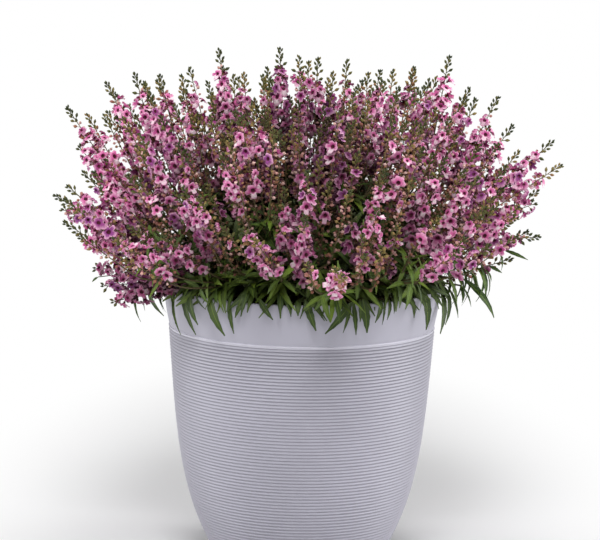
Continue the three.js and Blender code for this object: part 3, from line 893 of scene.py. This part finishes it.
def seen_at(pixel, forward):
    """The place that the photo shows at a pixel. For its x, forward gives how far it is before the axis."""
    stage = bpy.context.scene.planter_stage
    right, down = pixel[0] - PHOTO_WIDTH / 2, pixel[1] - PHOTO_HEIGHT / 2
    across_level = right * cos(stage.roll) + down * sin(stage.roll)
    down_level = down * cos(stage.roll) - right * sin(stage.roll)
    cosine, sine = cos(stage.elevation), sin(stage.elevation)
    place = Vector((0, 0, POT_TOP))
    for _ in range(4):
        depth = stage.distance + place.y * cosine - (place.z - TARGET.z) * sine
        scale = depth * SENSOR / stage.lens / PHOTO_WIDTH
        x = TARGET.x + across_level * scale
        y = -forward(x)
        place = Vector((x, y, TARGET.z - (down_level * scale + y * sine) / cosine))
    return place


def round_pot(radius):
    """How far in front of the axis a wall round it is for an x, or a little in front beside it."""
    return lambda x: sqrt(max(NEAR_SIDE**2, radius**2 - x * x))


def across(axis, angle):
    """A direction across an axis, at an angle round it."""
    right = axis.cross(Vector((0.31, -0.2, 0.93))).normalized()
    return cos(angle) * right + sin(angle) * axis.cross(right)


def side_shoot(index, main, angle, draws):
    """A shoot that branches off a main one below its flowers and stands beside it."""
    aside = across(main.axis, angle)
    lean = (main.axis + draws(0.06, 0.2) * aside).normalized()
    base = main.base + aside * draws(19, 30) * MM - main.axis * draws(-4, 30) * MM
    inner, outer = RIM_ZONE
    if base.z < LOW_SIDE and (inner < hypot(base.x, base.y) < outer or base.y < FRONT_ZONE):
        base += UP * SIDE_LIFT * MM
    fork = main.path[draws.whole(5, 9)]
    handle = 0.3 * (base - fork).length
    towards = (main.path[9] - main.path[6]).normalized()
    way = bezier(fork, fork + towards * handle, base - lean * handle, base, 8)
    flowers = (main.flowers - SPIKE_EXTRA) * draws(0.72, 0.98)
    spent = 0.95 if draws() < 0.52 else draws(0.2, 0.6)
    tip = draws(20, 30) * MM
    if abs((base + lean * (flowers + tip)).x) > SIDE_LIMIT:
        flowers *= 0.6
    return Shoot(index, main.plant, way, base, lean, flowers, tip, spent)


def main_shoot(index, base, axis, tip, flowers, bare, spent):
    """A shoot whose stem comes from the neck of the nearest plant."""
    azimuth = atan2(tip.y, tip.x)
    return Shoot(index, plant_of(azimuth), neck_path(azimuth, base, axis), base, axis, flowers, bare, spent)


@functools.cache
def shoots():
    """All the flowering shoots: one on each CAD spike's line, and side shoots that branch off it."""
    made = []
    for index, name in enumerate(SPIKE_NODES):
        draws = Draws(SHOOT_SEED + index)
        low, high = spike_line(name)
        axis = (high - low).normalized()
        base, tip = low + axis * RING_OVERHANG, high + axis * BUD_REACH
        flowers = (high - low).length - 2 * RING_OVERHANG + SPIKE_EXTRA
        bare = BUD_REACH - SPIKE_EXTRA + 4 * MM
        main = main_shoot(len(made), base, axis, tip, flowers, bare, draws(0.2, 0.55))
        made.append(main)
        start_angle = draws(0, TURN)
        for side in range(SIDE_SHOOTS):
            angle = start_angle + (side + draws(-0.2, 0.2)) * TURN / SIDE_SHOOTS
            made.append(side_shoot(len(made), main, angle, draws))
    mains = made[:: 1 + SIDE_SHOOTS]
    outer = [(*row, OUTER_TIP) for row in OUTER_SHOOTS]
    outer += [(*row, MASS_SPENT, MASS_TIP) for row in OUTER_MASSES]
    for right, down, forward, degrees_right, spent, bare in outer:
        tip = seen_at((right, down), lambda x: forward * MM)
        lean = radians(degrees_right)
        axis = Vector((sin(lean), -0.1 * copysign(1, forward), cos(lean))).normalized()
        base = tip - axis * (OUTER_FLOWERS + bare)
        made.append(main_shoot(len(made), base, axis, tip, OUTER_FLOWERS, bare, spent))
    for main in mains:
        draws = Draws(SEEDY_SEED + main.index)
        count = SEEDY_SHOOTS + 2 * (main.base.z > SEEDY_CROWN) if main.base.z >= SEEDY_FLOOR else 0
        for side in range(count):
            angle = (side + draws(0, 0.6)) * TURN / count
            made.append(side_shoot(len(made), main, angle, draws)._replace(spent=SEEDY))
    return made


@functools.cache
def leafy_shoots():
    """The leafy shoots that lean over the rim."""
    made = []
    for k in range(LEAFY_SHOOTS):
        azimuth = TURN * (k + 0.5) / LEAFY_SHOOTS
        direction = flat(azimuth, 1, -0.15).normalized()
        reach = LEAFY_REACH - 9 * MM * (1 + sin(7.3 * k))
        if direction.y < 0.2:
            reach -= FRONT_CUT
        end = flat(azimuth, reach, LEAFY_HEIGHT + 5 * MM * sin(5 * k))
        made.append(Twig(plant_of(azimuth), neck_path(azimuth, end, direction, LEAFY_RISE)))
    for bearing, reach, height in LEAFY_SPRAYS:
        azimuth = radians(bearing)
        end = flat(azimuth, reach * MM, height * MM)
        path = neck_path(azimuth, end, flat(azimuth, 1, -0.1).normalized())
        made.append(Twig(plant_of(azimuth), path))
    return made


@functools.cache
def hanging_leaves():
    """The twig of each leaf that hangs over the rim, where the leaf ends, and its width."""
    made = []
    for start_x, start_y, end_x, end_y, wide in HANGING_LEAVES:
        root = seen_at((start_x, start_y), round_pot(HANGING_ROOT))
        root.z = max(root.z, POT_TOP + 3 * MM)
        tip = seen_at((end_x, end_y), round_pot(HANGING_TIP))
        azimuth = atan2(root.y, root.x)
        path = neck_path(azimuth, root, flat(azimuth, 1, -0.15).normalized(), LEAFY_RISE)
        made.append(Twig(plant_of(azimuth), path, tip, wide * HANGING_SLANT * MM))
    return made


class BuildStems(bpy.types.Operator):
    """Grows the stems of the three plants"""

    bl_idname = "planter.build_stems"
    bl_label = "Build stems"

    def execute(self, context):
        finish = stem_finish(context.scene.planter_leaves)
        for plant in range(PLANTS):
            stems = []
            for shoot in of_plant(shoots(), plant):
                reach = shoot.flowers + shoot.tip
                spine = [shoot.base + shoot.axis * reach * share for share in (0.25, 0.5, 0.75, 1)]
                stems.append(([*shoot.path, *spine], *FLOWERING_STEM))
            stems += [(twig.path, *LEAFY_STEM) for twig in of_plant(leafy_shoots() + hanging_leaves(), plant)]
            points, edges, thickness = [], [], []
            for path, thick, taper in stems:
                first, last = len(points), len(path) - 1
                points += path
                edges += [(first + k, first + k + 1) for k in range(last)]
                thickness += [thick - taper * k / last for k in range(last + 1)]
            thing = new_object(f"stems_{plant + 1}", points, edges=edges)
            set_attribute(thing.data, "thickness", "FLOAT", thickness)
            dressed(grown(thing, stem_tree(), {"Sides": 6, "Thickness": MM, "Finish": finish}), "greens")
        return {"FINISHED"}


def midrib(kind, steps=9):
    """A leaf's midrib for each kind of droop, as (along, up) pairs for a leaf of length 1."""
    along = up = 0.0
    points = [(0.0, 0.0)]
    for k in range(steps):
        angle = LEAF_BENDS[kind] * ((k + 0.5) / steps) ** 1.1
        along += cos(angle) / steps
        up -= sin(angle) / steps
        points.append((along, up))
    return points


def leaf_shape(kind):
    """A narrow, toothed leaf of length 1 along +Y, folded along its midrib, with its face to +Z."""
    line = midrib(kind)
    last = len(line) - 1
    points = []
    places = []
    for k, (reach, rise) in enumerate(line):
        share = k / last
        half = 0.5 * LEAF_SLIM * sin(pi * share**0.8) ** 0.85 if 0 < k < last else 0.012
        half *= 1 + (0.09 if k % 2 else -0.06)
        points += [(-half, reach, rise + 0.35 * half), (0, reach, rise), (half, reach, rise + 0.35 * half)]
        places += [(side / 2, share) for side in range(3)]
    faces = [(low, low + 1, low + 4, low + 3) for k in range(last) for low in (3 * k, 3 * k + 1)]
    shape = new_object("leaf", points, faces)
    map_points(shape.data, places)
    return shape


def map_points(mesh, places):
    """Gives each corner of a mesh its point's place on the UV map."""
    layer = mesh.uv_layers.new(name="UVMap")
    for loop in mesh.loops:
        layer.data[loop.index].uv = places[loop.vertex_index]


def add_leaf(seats, root, heading, face, length, width, kind, tint):
    """Seats a leaf along a heading with its face turned as asked, unless it would cross the pot."""
    heading = heading.normalized()
    face = (face - heading * face.dot(heading)).normalized()
    for droop in (kind, max(0, kind - 1), 0):
        line = midrib(droop, 5)[1:]
        if all(outside_pot(root + heading * reach * length + face * rise * length) for reach, rise in line):
            seats.add(root, face, heading, (width / LEAF_SLIM, length, length), droop, tint)
            return


def hang_leaf(seats, root, tip, width, kind, tint):
    """Seats a leaf from its root to its tip, arching outwards and towards the front on the way."""
    along, rise = midrib(kind)[-1]
    length = (tip - root).length / hypot(along, rise)
    bend = atan2(-rise, along)
    straight = (tip - root).normalized()
    outward = flat(atan2(root.y, root.x)) + Vector((0, -1, 0))
    outward = (outward - straight * outward.dot(straight)).normalized()
    heading = straight * cos(bend) + outward * sin(bend)
    face = outward * cos(bend) - straight * sin(bend)
    seats.add(root, face, heading, (width / LEAF_SLIM, length, length), kind, tint)


def stem_leaves(seats, shoot, settings):
    """Leaves in pairs along a stem below its flowers, smaller towards the top."""
    draws = Draws(LEAF_SEED + shoot.index)
    turn = draws(0, TURN)
    steps = [(a, b, (b - a).length) for a, b in zip(shoot.path, shoot.path[1:])]
    total = sum(length for _, _, length in steps)
    travelled = walked = 0.0
    for a, b, length in steps:
        direction = (b - a).normalized()
        walked += length
        travelled += length
        share = walked / total
        while travelled > LEAF_GAP:
            travelled -= LEAF_GAP
            turn += TURN / 4 + draws(-0.3, 0.3)
            if share < 0.3 or draws() < 2 * (share - 0.45):
                continue
            for half in (0, TURN / 2):
                aside = across(direction, turn + half)
                heading = aside + direction * draws(0.3, 0.9) + UP * draws(-0.1, 0.25)
                size = draws(0.6, 1.1) * (1 - 0.45 * share)
                kind = draws.pick(0.25, 0.4, 0.25, 0.1)
                tint = 0.25 + 0.5 * share + draws(-0.25, 0.25)
                root, face = b - direction * travelled, direction + 0.6 * UP
                long, wide = size * settings.length, size**0.6 * settings.width
                add_leaf(seats, root, heading, face, long, wide, kind, tint)


def mound_leaves(seats, plant, settings):
    """Leaves all over the mound in the heart of a plant."""
    draws = Draws(MOUND_SEED + plant)
    for k in range(MOUND_LEAVES):
        azimuth = k * GOLDEN_ANGLE
        if plant_of(azimuth) != plant:
            continue
        lift = asin(1 - (k + 0.5) / MOUND_LEAVES)
        shell = draws(0.72, 1.05 + 0.35 * sin(lift))
        ray = flat(azimuth, cos(lift) * MOUND_WIDTH, sin(lift) * MOUND_RISE)
        root = Vector((0, 0, MOUND_WAIST)) + ray * shell
        outward = flat(azimuth, cos(lift), sin(lift) + 0.25)
        heading = outward * draws(0.3, 1) + draws.vector() * 0.55
        heading.z = max(heading.z, -0.2)
        length = draws(0.75, 1.2) * settings.length
        tint = draws(0, 0.55)
        kind = draws.pick(0.2, 0.4, 0.3, 0.1)
        add_leaf(seats, root, heading, outward + 0.5 * UP, length, settings.width, kind, tint)


def rim_leaves(seats, plant, settings):
    """Leaves in pairs on the leafy shoots, arching over the pot's rim and hanging down outside it."""
    draws = Draws(RIM_SEED + plant)
    for _, path, *_ in of_plant(leafy_shoots(), plant):
        front = path[-1].y < 0.2 * LEAFY_REACH and path[-1].z < LEAFY_HEIGHT + 6 * MM
        for k in range(5, len(path)):
            direction = (path[k] - path[k - 1]).normalized()
            flank = direction.cross(UP).normalized()
            for side in (-1, 1):
                fall = draws(-1.6, -0.2) if k > 8 else draws(-0.2, 0.4)
                heading = direction * draws(0.5, 1.1) + side * flank * draws(0.1, 0.6) + UP * fall
                size = draws(0.85, 1.2)
                kind = draws.pick(0.05, 0.25, 0.4, 0.3)
                tint = draws(0, 0.9)
                if front:
                    heading.z = abs(heading.z) * 0.3
                    kind //= 2
                    size *= 0.75
                face = UP + 0.5 * direction
                add_leaf(seats, path[k], heading, face, size * settings.length, settings.width, kind, tint)
        for _ in range(FRINGE_LEAVES if front else 0):
            root = path[draws.whole(9, len(path))]
            azimuth = atan2(root.y, root.x) + draws(-0.13, 0.13)
            tip = flat(azimuth, draws(160, 166) * MM, POT_TOP - draws(0, 15) * MM)
            width = draws(5, 8.5) * MM
            hang_leaf(seats, root, tip, width, draws.whole(2, 4), draws(0, 0.7))
    for order, twig in enumerate(hanging_leaves()):
        if twig.plant == plant:
            hang_leaf(seats, twig.path[-1], twig.tip, twig.width, 1 + order % 2, draws(0, 0.35))


class BuildLeaves(bpy.types.Operator):
    """Grows the leaves of the three plants"""

    bl_idname = "planter.build_leaves"
    bl_label = "Build leaves"

    def execute(self, context):
        settings = context.scene.planter_leaves
        finish = leaf_finish(settings)
        for plant in range(PLANTS):
            seats = Seats()
            for shoot in of_plant(shoots(), plant):
                stem_leaves(seats, shoot, settings)
            mound_leaves(seats, plant, settings)
            rim_leaves(seats, plant, settings)
            shapes = [leaf_shape(kind) for kind in range(len(LEAF_BENDS))]
            dressed(seats.fill(f"leaves_{plant + 1}", shapes, finish), "greens", f"plant_{plant + 1}")
        return {"FINISHED"}


def floret_shape(radius, kind):
    """Two upper and three lower lobes round a throat. The floret looks along +Z, with its upper lip at +Y."""
    back, cup = FLORET_CUPS[kind]
    outline = []
    for k, (middle, reach) in enumerate(LOBES):
        before = LOBES[k - 1][0] - (360 if k == 0 else 0)
        after = LOBES[(k + 1) % len(LOBES)][0] + (360 if k == len(LOBES) - 1 else 0)
        outline.append(((middle + before) / 2, NOTCH, 0.3))
        outline.append((middle - 0.24 * (middle - before), 0.94 * reach, -0.06))
        outline.append((middle, reach, 0.04))
        outline.append((middle + 0.24 * (after - middle), 0.94 * reach, -0.06))
    points = [Vector((0, 0, FLORET_STAND - 0.62 * radius))]
    places = [(0.5, 0.0)]
    rows = [(0.3, 0.34, -0.12), (0.62, 0.66, 0.12), (1.0, 1.0, 0.0)]
    for share, mark, rise in rows:
        for bearing, reach, curl in outline:
            angle = radians(bearing)
            span = radius * (share * reach if share > 0.3 else 0.3)
            tilt = -0.2 * sin(angle) ** 2 if sin(angle) > 0 else 0.12 * sin(angle)
            depth = radius * (rise - share * share * (curl + 0.12 + back * sin(angle) + cup) + share * tilt)
            points.append(Vector((span * cos(angle), span * sin(angle), FLORET_STAND + depth)))
            places.append(((bearing % 360) / 360, mark))
    count = len(outline)
    ring = [(k, (k + 1) % count) for k in range(count)]
    faces = [(0, 1 + a, 1 + b) for a, b in ring]
    for low in range(1, len(points) - count, count):
        faces += [(low + a, low + count + a, low + count + b, low + b) for a, b in ring]
    shape = new_object("floret", points, faces)
    map_points(shape.data, places)
    return shape


def stalk(radius, top):
    """The points and faces of a three-sided stalk, for sizes in millimetres."""
    points = [flat(TURN * k / 3, radius * MM, height * MM) for height in (0, top) for k in range(3)]
    return points, [(k, (k + 1) % 3, 3 + (k + 1) % 3, 3 + k) for k in range(3)]


def calyx_shape():
    """A thin stalk with five pointed sepals behind a floret."""
    points, faces = stalk(0.38, 3.6)
    for k in range(5):
        middle = TURN * k / 5
        first = len(points)
        points += [Vector((0, 0, 3.2 * MM)), flat(middle - 0.55, 1.5 * MM, 4.6 * MM)]
        points += [flat(middle, 2.7 * MM, 6.4 * MM), flat(middle + 0.55, 1.5 * MM, 4.6 * MM)]
        faces.append((first, first + 3, first + 2, first + 1))
    return new_object("calyx", points, faces)


def on_stalk(top, rows):
    """A round shape on its stalk, looking along +Z, from its (radius, height) pairs in millimetres."""
    points, faces = stalk(0.35, top)
    more, shell = turned([(radius * MM, height * MM) for radius, height in rows], 5)
    faces += [[corner + len(points) for corner in face] for face in shell]
    return new_object("on_stalk", points + more, faces)


def bud_shape(plump):
    """A small bud on its stalk."""
    return on_stalk(2.6, [(0, 2.2), (0.85 * plump, 2.9), (1.15 * plump, 4.2), (0.5 * plump, 5.5), (0, 6.1)])


def capsule_shape():
    """A round seed capsule in its sepals, on its stalk."""
    return on_stalk(4.2, [(0, 3.6), (1.7, 4.6), (1.9, 6.3), (0.5, 7.6), (0, 8.6)])


class BuildFlowers(bpy.types.Operator):
    """Sets the florets, the buds and the seed capsules on the shoots"""

    bl_idname = "planter.build_flowers"
    bl_label = "Build flowers"

    def execute(self, context):
        settings = context.scene.planter_flowers
        petals = petal_finish(settings)
        greens = bud_finish()
        mains = list(zip(SPIKE_NODES, shoots()[:: 1 + SIDE_SHOOTS]))
        for plant in range(PLANTS):
            florets, *others = seats = [Seats() for _ in range(4)]
            for shoot in of_plant(shoots(), plant):
                flower_shoot(shoot, settings, *seats)
            shapes = [floret_shape(settings.radius, kind) for kind in range(len(FLORET_CUPS))]
            nodes = [name for name, shoot in mains if shoot.plant == plant]
            dressed(florets.fill(f"florets_{plant + 1}", shapes, petals), "petals", *nodes)
            green_shapes = {
                "calyces": [calyx_shape()],
                "buds": [bud_shape(1.0), bud_shape(1.35)],
                "capsules": [capsule_shape()],
            }
            for (name, shapes), row in zip(green_shapes.items(), others):
                dressed(row.fill(f"{name}_{plant + 1}", shapes, greens), "greens")
        return {"FINISHED"}


def flower_shoot(shoot, settings, florets, calyces, buds, capsules):
    """Seats the flowers of a shoot up a golden spiral: capsules, florets, opening buds and its green tip."""
    draws = Draws(FLOWER_SEED + shoot.index)
    mood = draws(0.25, 0.85)
    ripe = draws(0.1, 0.28) if shoot.spent > 0.45 else draws(0, 0.08)
    turn = draws(0, TURN)
    height = CAPSULE_START if shoot.base.z > CAPSULE_FLOOR else 0
    top = shoot.flowers + shoot.tip
    while height < top - 1 * MM:
        turn += GOLDEN_ANGLE + draws(-0.12, 0.12)
        outward = across(shoot.axis, turn)
        place = shoot.base + shoot.axis * height
        share = height / shoot.flowers
        if height < 0:
            tint = draws(0.45, 1.0)
            capsules.add(place, outward + 0.7 * shoot.axis, shoot.axis, draws(0.7, 1.0), 0, tint)
            height += draws(2.6, 4.2) * MM
        elif height < shoot.flowers:
            front = outward + shoot.axis * (0.05 + 0.35 * share) + 0.12 * UP + 0.3 * draws.vector()
            if draws() < shoot.spent * (1.5 - 0.8 * share):
                capsules.add(place, front, shoot.axis, draws(0.7, 1.05), 0, draws(0.48, 1.0))
            else:
                size = draws(0.8, 1.15) * (1 - 0.22 * max(0, share - 0.6) / 0.4)
                shape = (size * draws(0.8, 1.1), size * draws(0.85, 1.1), size)
                tint = min(1, max(0, mood + draws(-0.4, 0.4)))
                florets.add(place, front, shoot.axis, shape, draws.whole(0, len(FLORET_CUPS)), tint)
                calyces.add(place, front, shoot.axis, size, 0, draws(0.4, 0.9))
            height += settings.pitch
        else:
            rise = (height - shoot.flowers) / shoot.tip
            size = 1.7 - 0.7 * rise
            pink = rise < 0.25 and draws() < 0.45
            size *= 0.7 if pink else 1
            tint = draws(0.75, 0.95) if pink else draws(0.05, 0.4) - 0.15 * rise + ripe
            buds.add(place, outward + (0.4 + 1.6 * rise) * shoot.axis, shoot.axis, size, int(pink), tint)
            height += (2.5 - 1.2 * rise) * MM
    end = shoot.base + shoot.axis * (top - 2.5 * MM)
    buds.add(end, shoot.axis, across(shoot.axis, 0), 1.1, 0, 0.05)


class BuildStage(bpy.types.Operator):
    """Lays the floor, and sets up the soft lights and the camera"""

    bl_idname = "planter.build_stage"
    bl_label = "Build stage"

    def execute(self, context):
        settings = context.scene.planter_stage
        rim = [flat(TURN * k / settings.sides, FLOOR_RADIUS, -0.3 * MM) for k in range(settings.sides)]
        floor = linked(new_object("floor", rim, [range(settings.sides)]))
        floor.data.materials.append(floor_finish(settings))
        for name, place, (width, height), power in LAMPS:
            light = bpy.data.lights.new(name, "AREA")
            light.shape = "RECTANGLE"
            light.size = width
            light.size_y = height
            light.energy = power
            lamp = linked(bpy.data.objects.new(name, light))
            lamp.location = place
            lamp.rotation_euler = (LAMP_AIM - Vector(place)).to_track_quat("-Z", "Y").to_euler()
        context.scene.world = room_light(settings)
        context.scene.view_settings.view_transform = "Standard"
        camera = bpy.data.cameras.new("camera")
        camera.lens = settings.lens
        viewer = linked(bpy.data.objects.new("camera", camera))
        back = Vector((0, -cos(settings.elevation), sin(settings.elevation)))
        viewer.location = TARGET + back * settings.distance
        level = (-back).to_track_quat("-Z", "Y")
        viewer.rotation_euler = (level @ Quaternion((0, 0, 1), settings.roll)).to_euler()
        context.scene.camera = viewer
        return {"FINISHED"}


OPERATORS = (BuildPlanter, BuildPottingMix, BuildStems, BuildLeaves, BuildFlowers, BuildStage)
SETTINGS = {
    "planter_pot": PlanterSettings,
    "planter_flowers": FlowerSettings,
    "planter_leaves": LeafSettings,
    "planter_stage": StageSettings,
}


class PlanterPanel(bpy.types.Panel):
    bl_idname = "VIEW3D_PT_planter"
    bl_label = "Potted angelonia"
    bl_space_type = "VIEW_3D"
    bl_region_type = "UI"
    bl_category = "Planter"

    def draw(self, context):
        for name, group in SETTINGS.items():
            box = self.layout.box()
            for label in group.__annotations__:
                box.prop(getattr(context.scene, name), label)
        for operator in OPERATORS:
            self.layout.operator(operator.bl_idname)


CLASSES = (*SETTINGS.values(), *OPERATORS, PlanterPanel)


def register():
    for kind in CLASSES:
        bpy.utils.register_class(kind)
    for name, group in SETTINGS.items():
        setattr(bpy.types.Scene, name, PointerProperty(type=group))


def unregister():
    for name in SETTINGS:
        delattr(bpy.types.Scene, name)
    for kind in reversed(CLASSES):
        bpy.utils.unregister_class(kind)


def main():
    """Builds the whole scene."""
    register()
    bpy.ops.planter.build_pot()
    bpy.ops.planter.build_mix()
    bpy.ops.planter.build_stems()
    bpy.ops.planter.build_leaves()
    bpy.ops.planter.build_flowers()
    bpy.ops.planter.build_stage()
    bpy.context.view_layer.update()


if __name__ == "__main__":
    main()
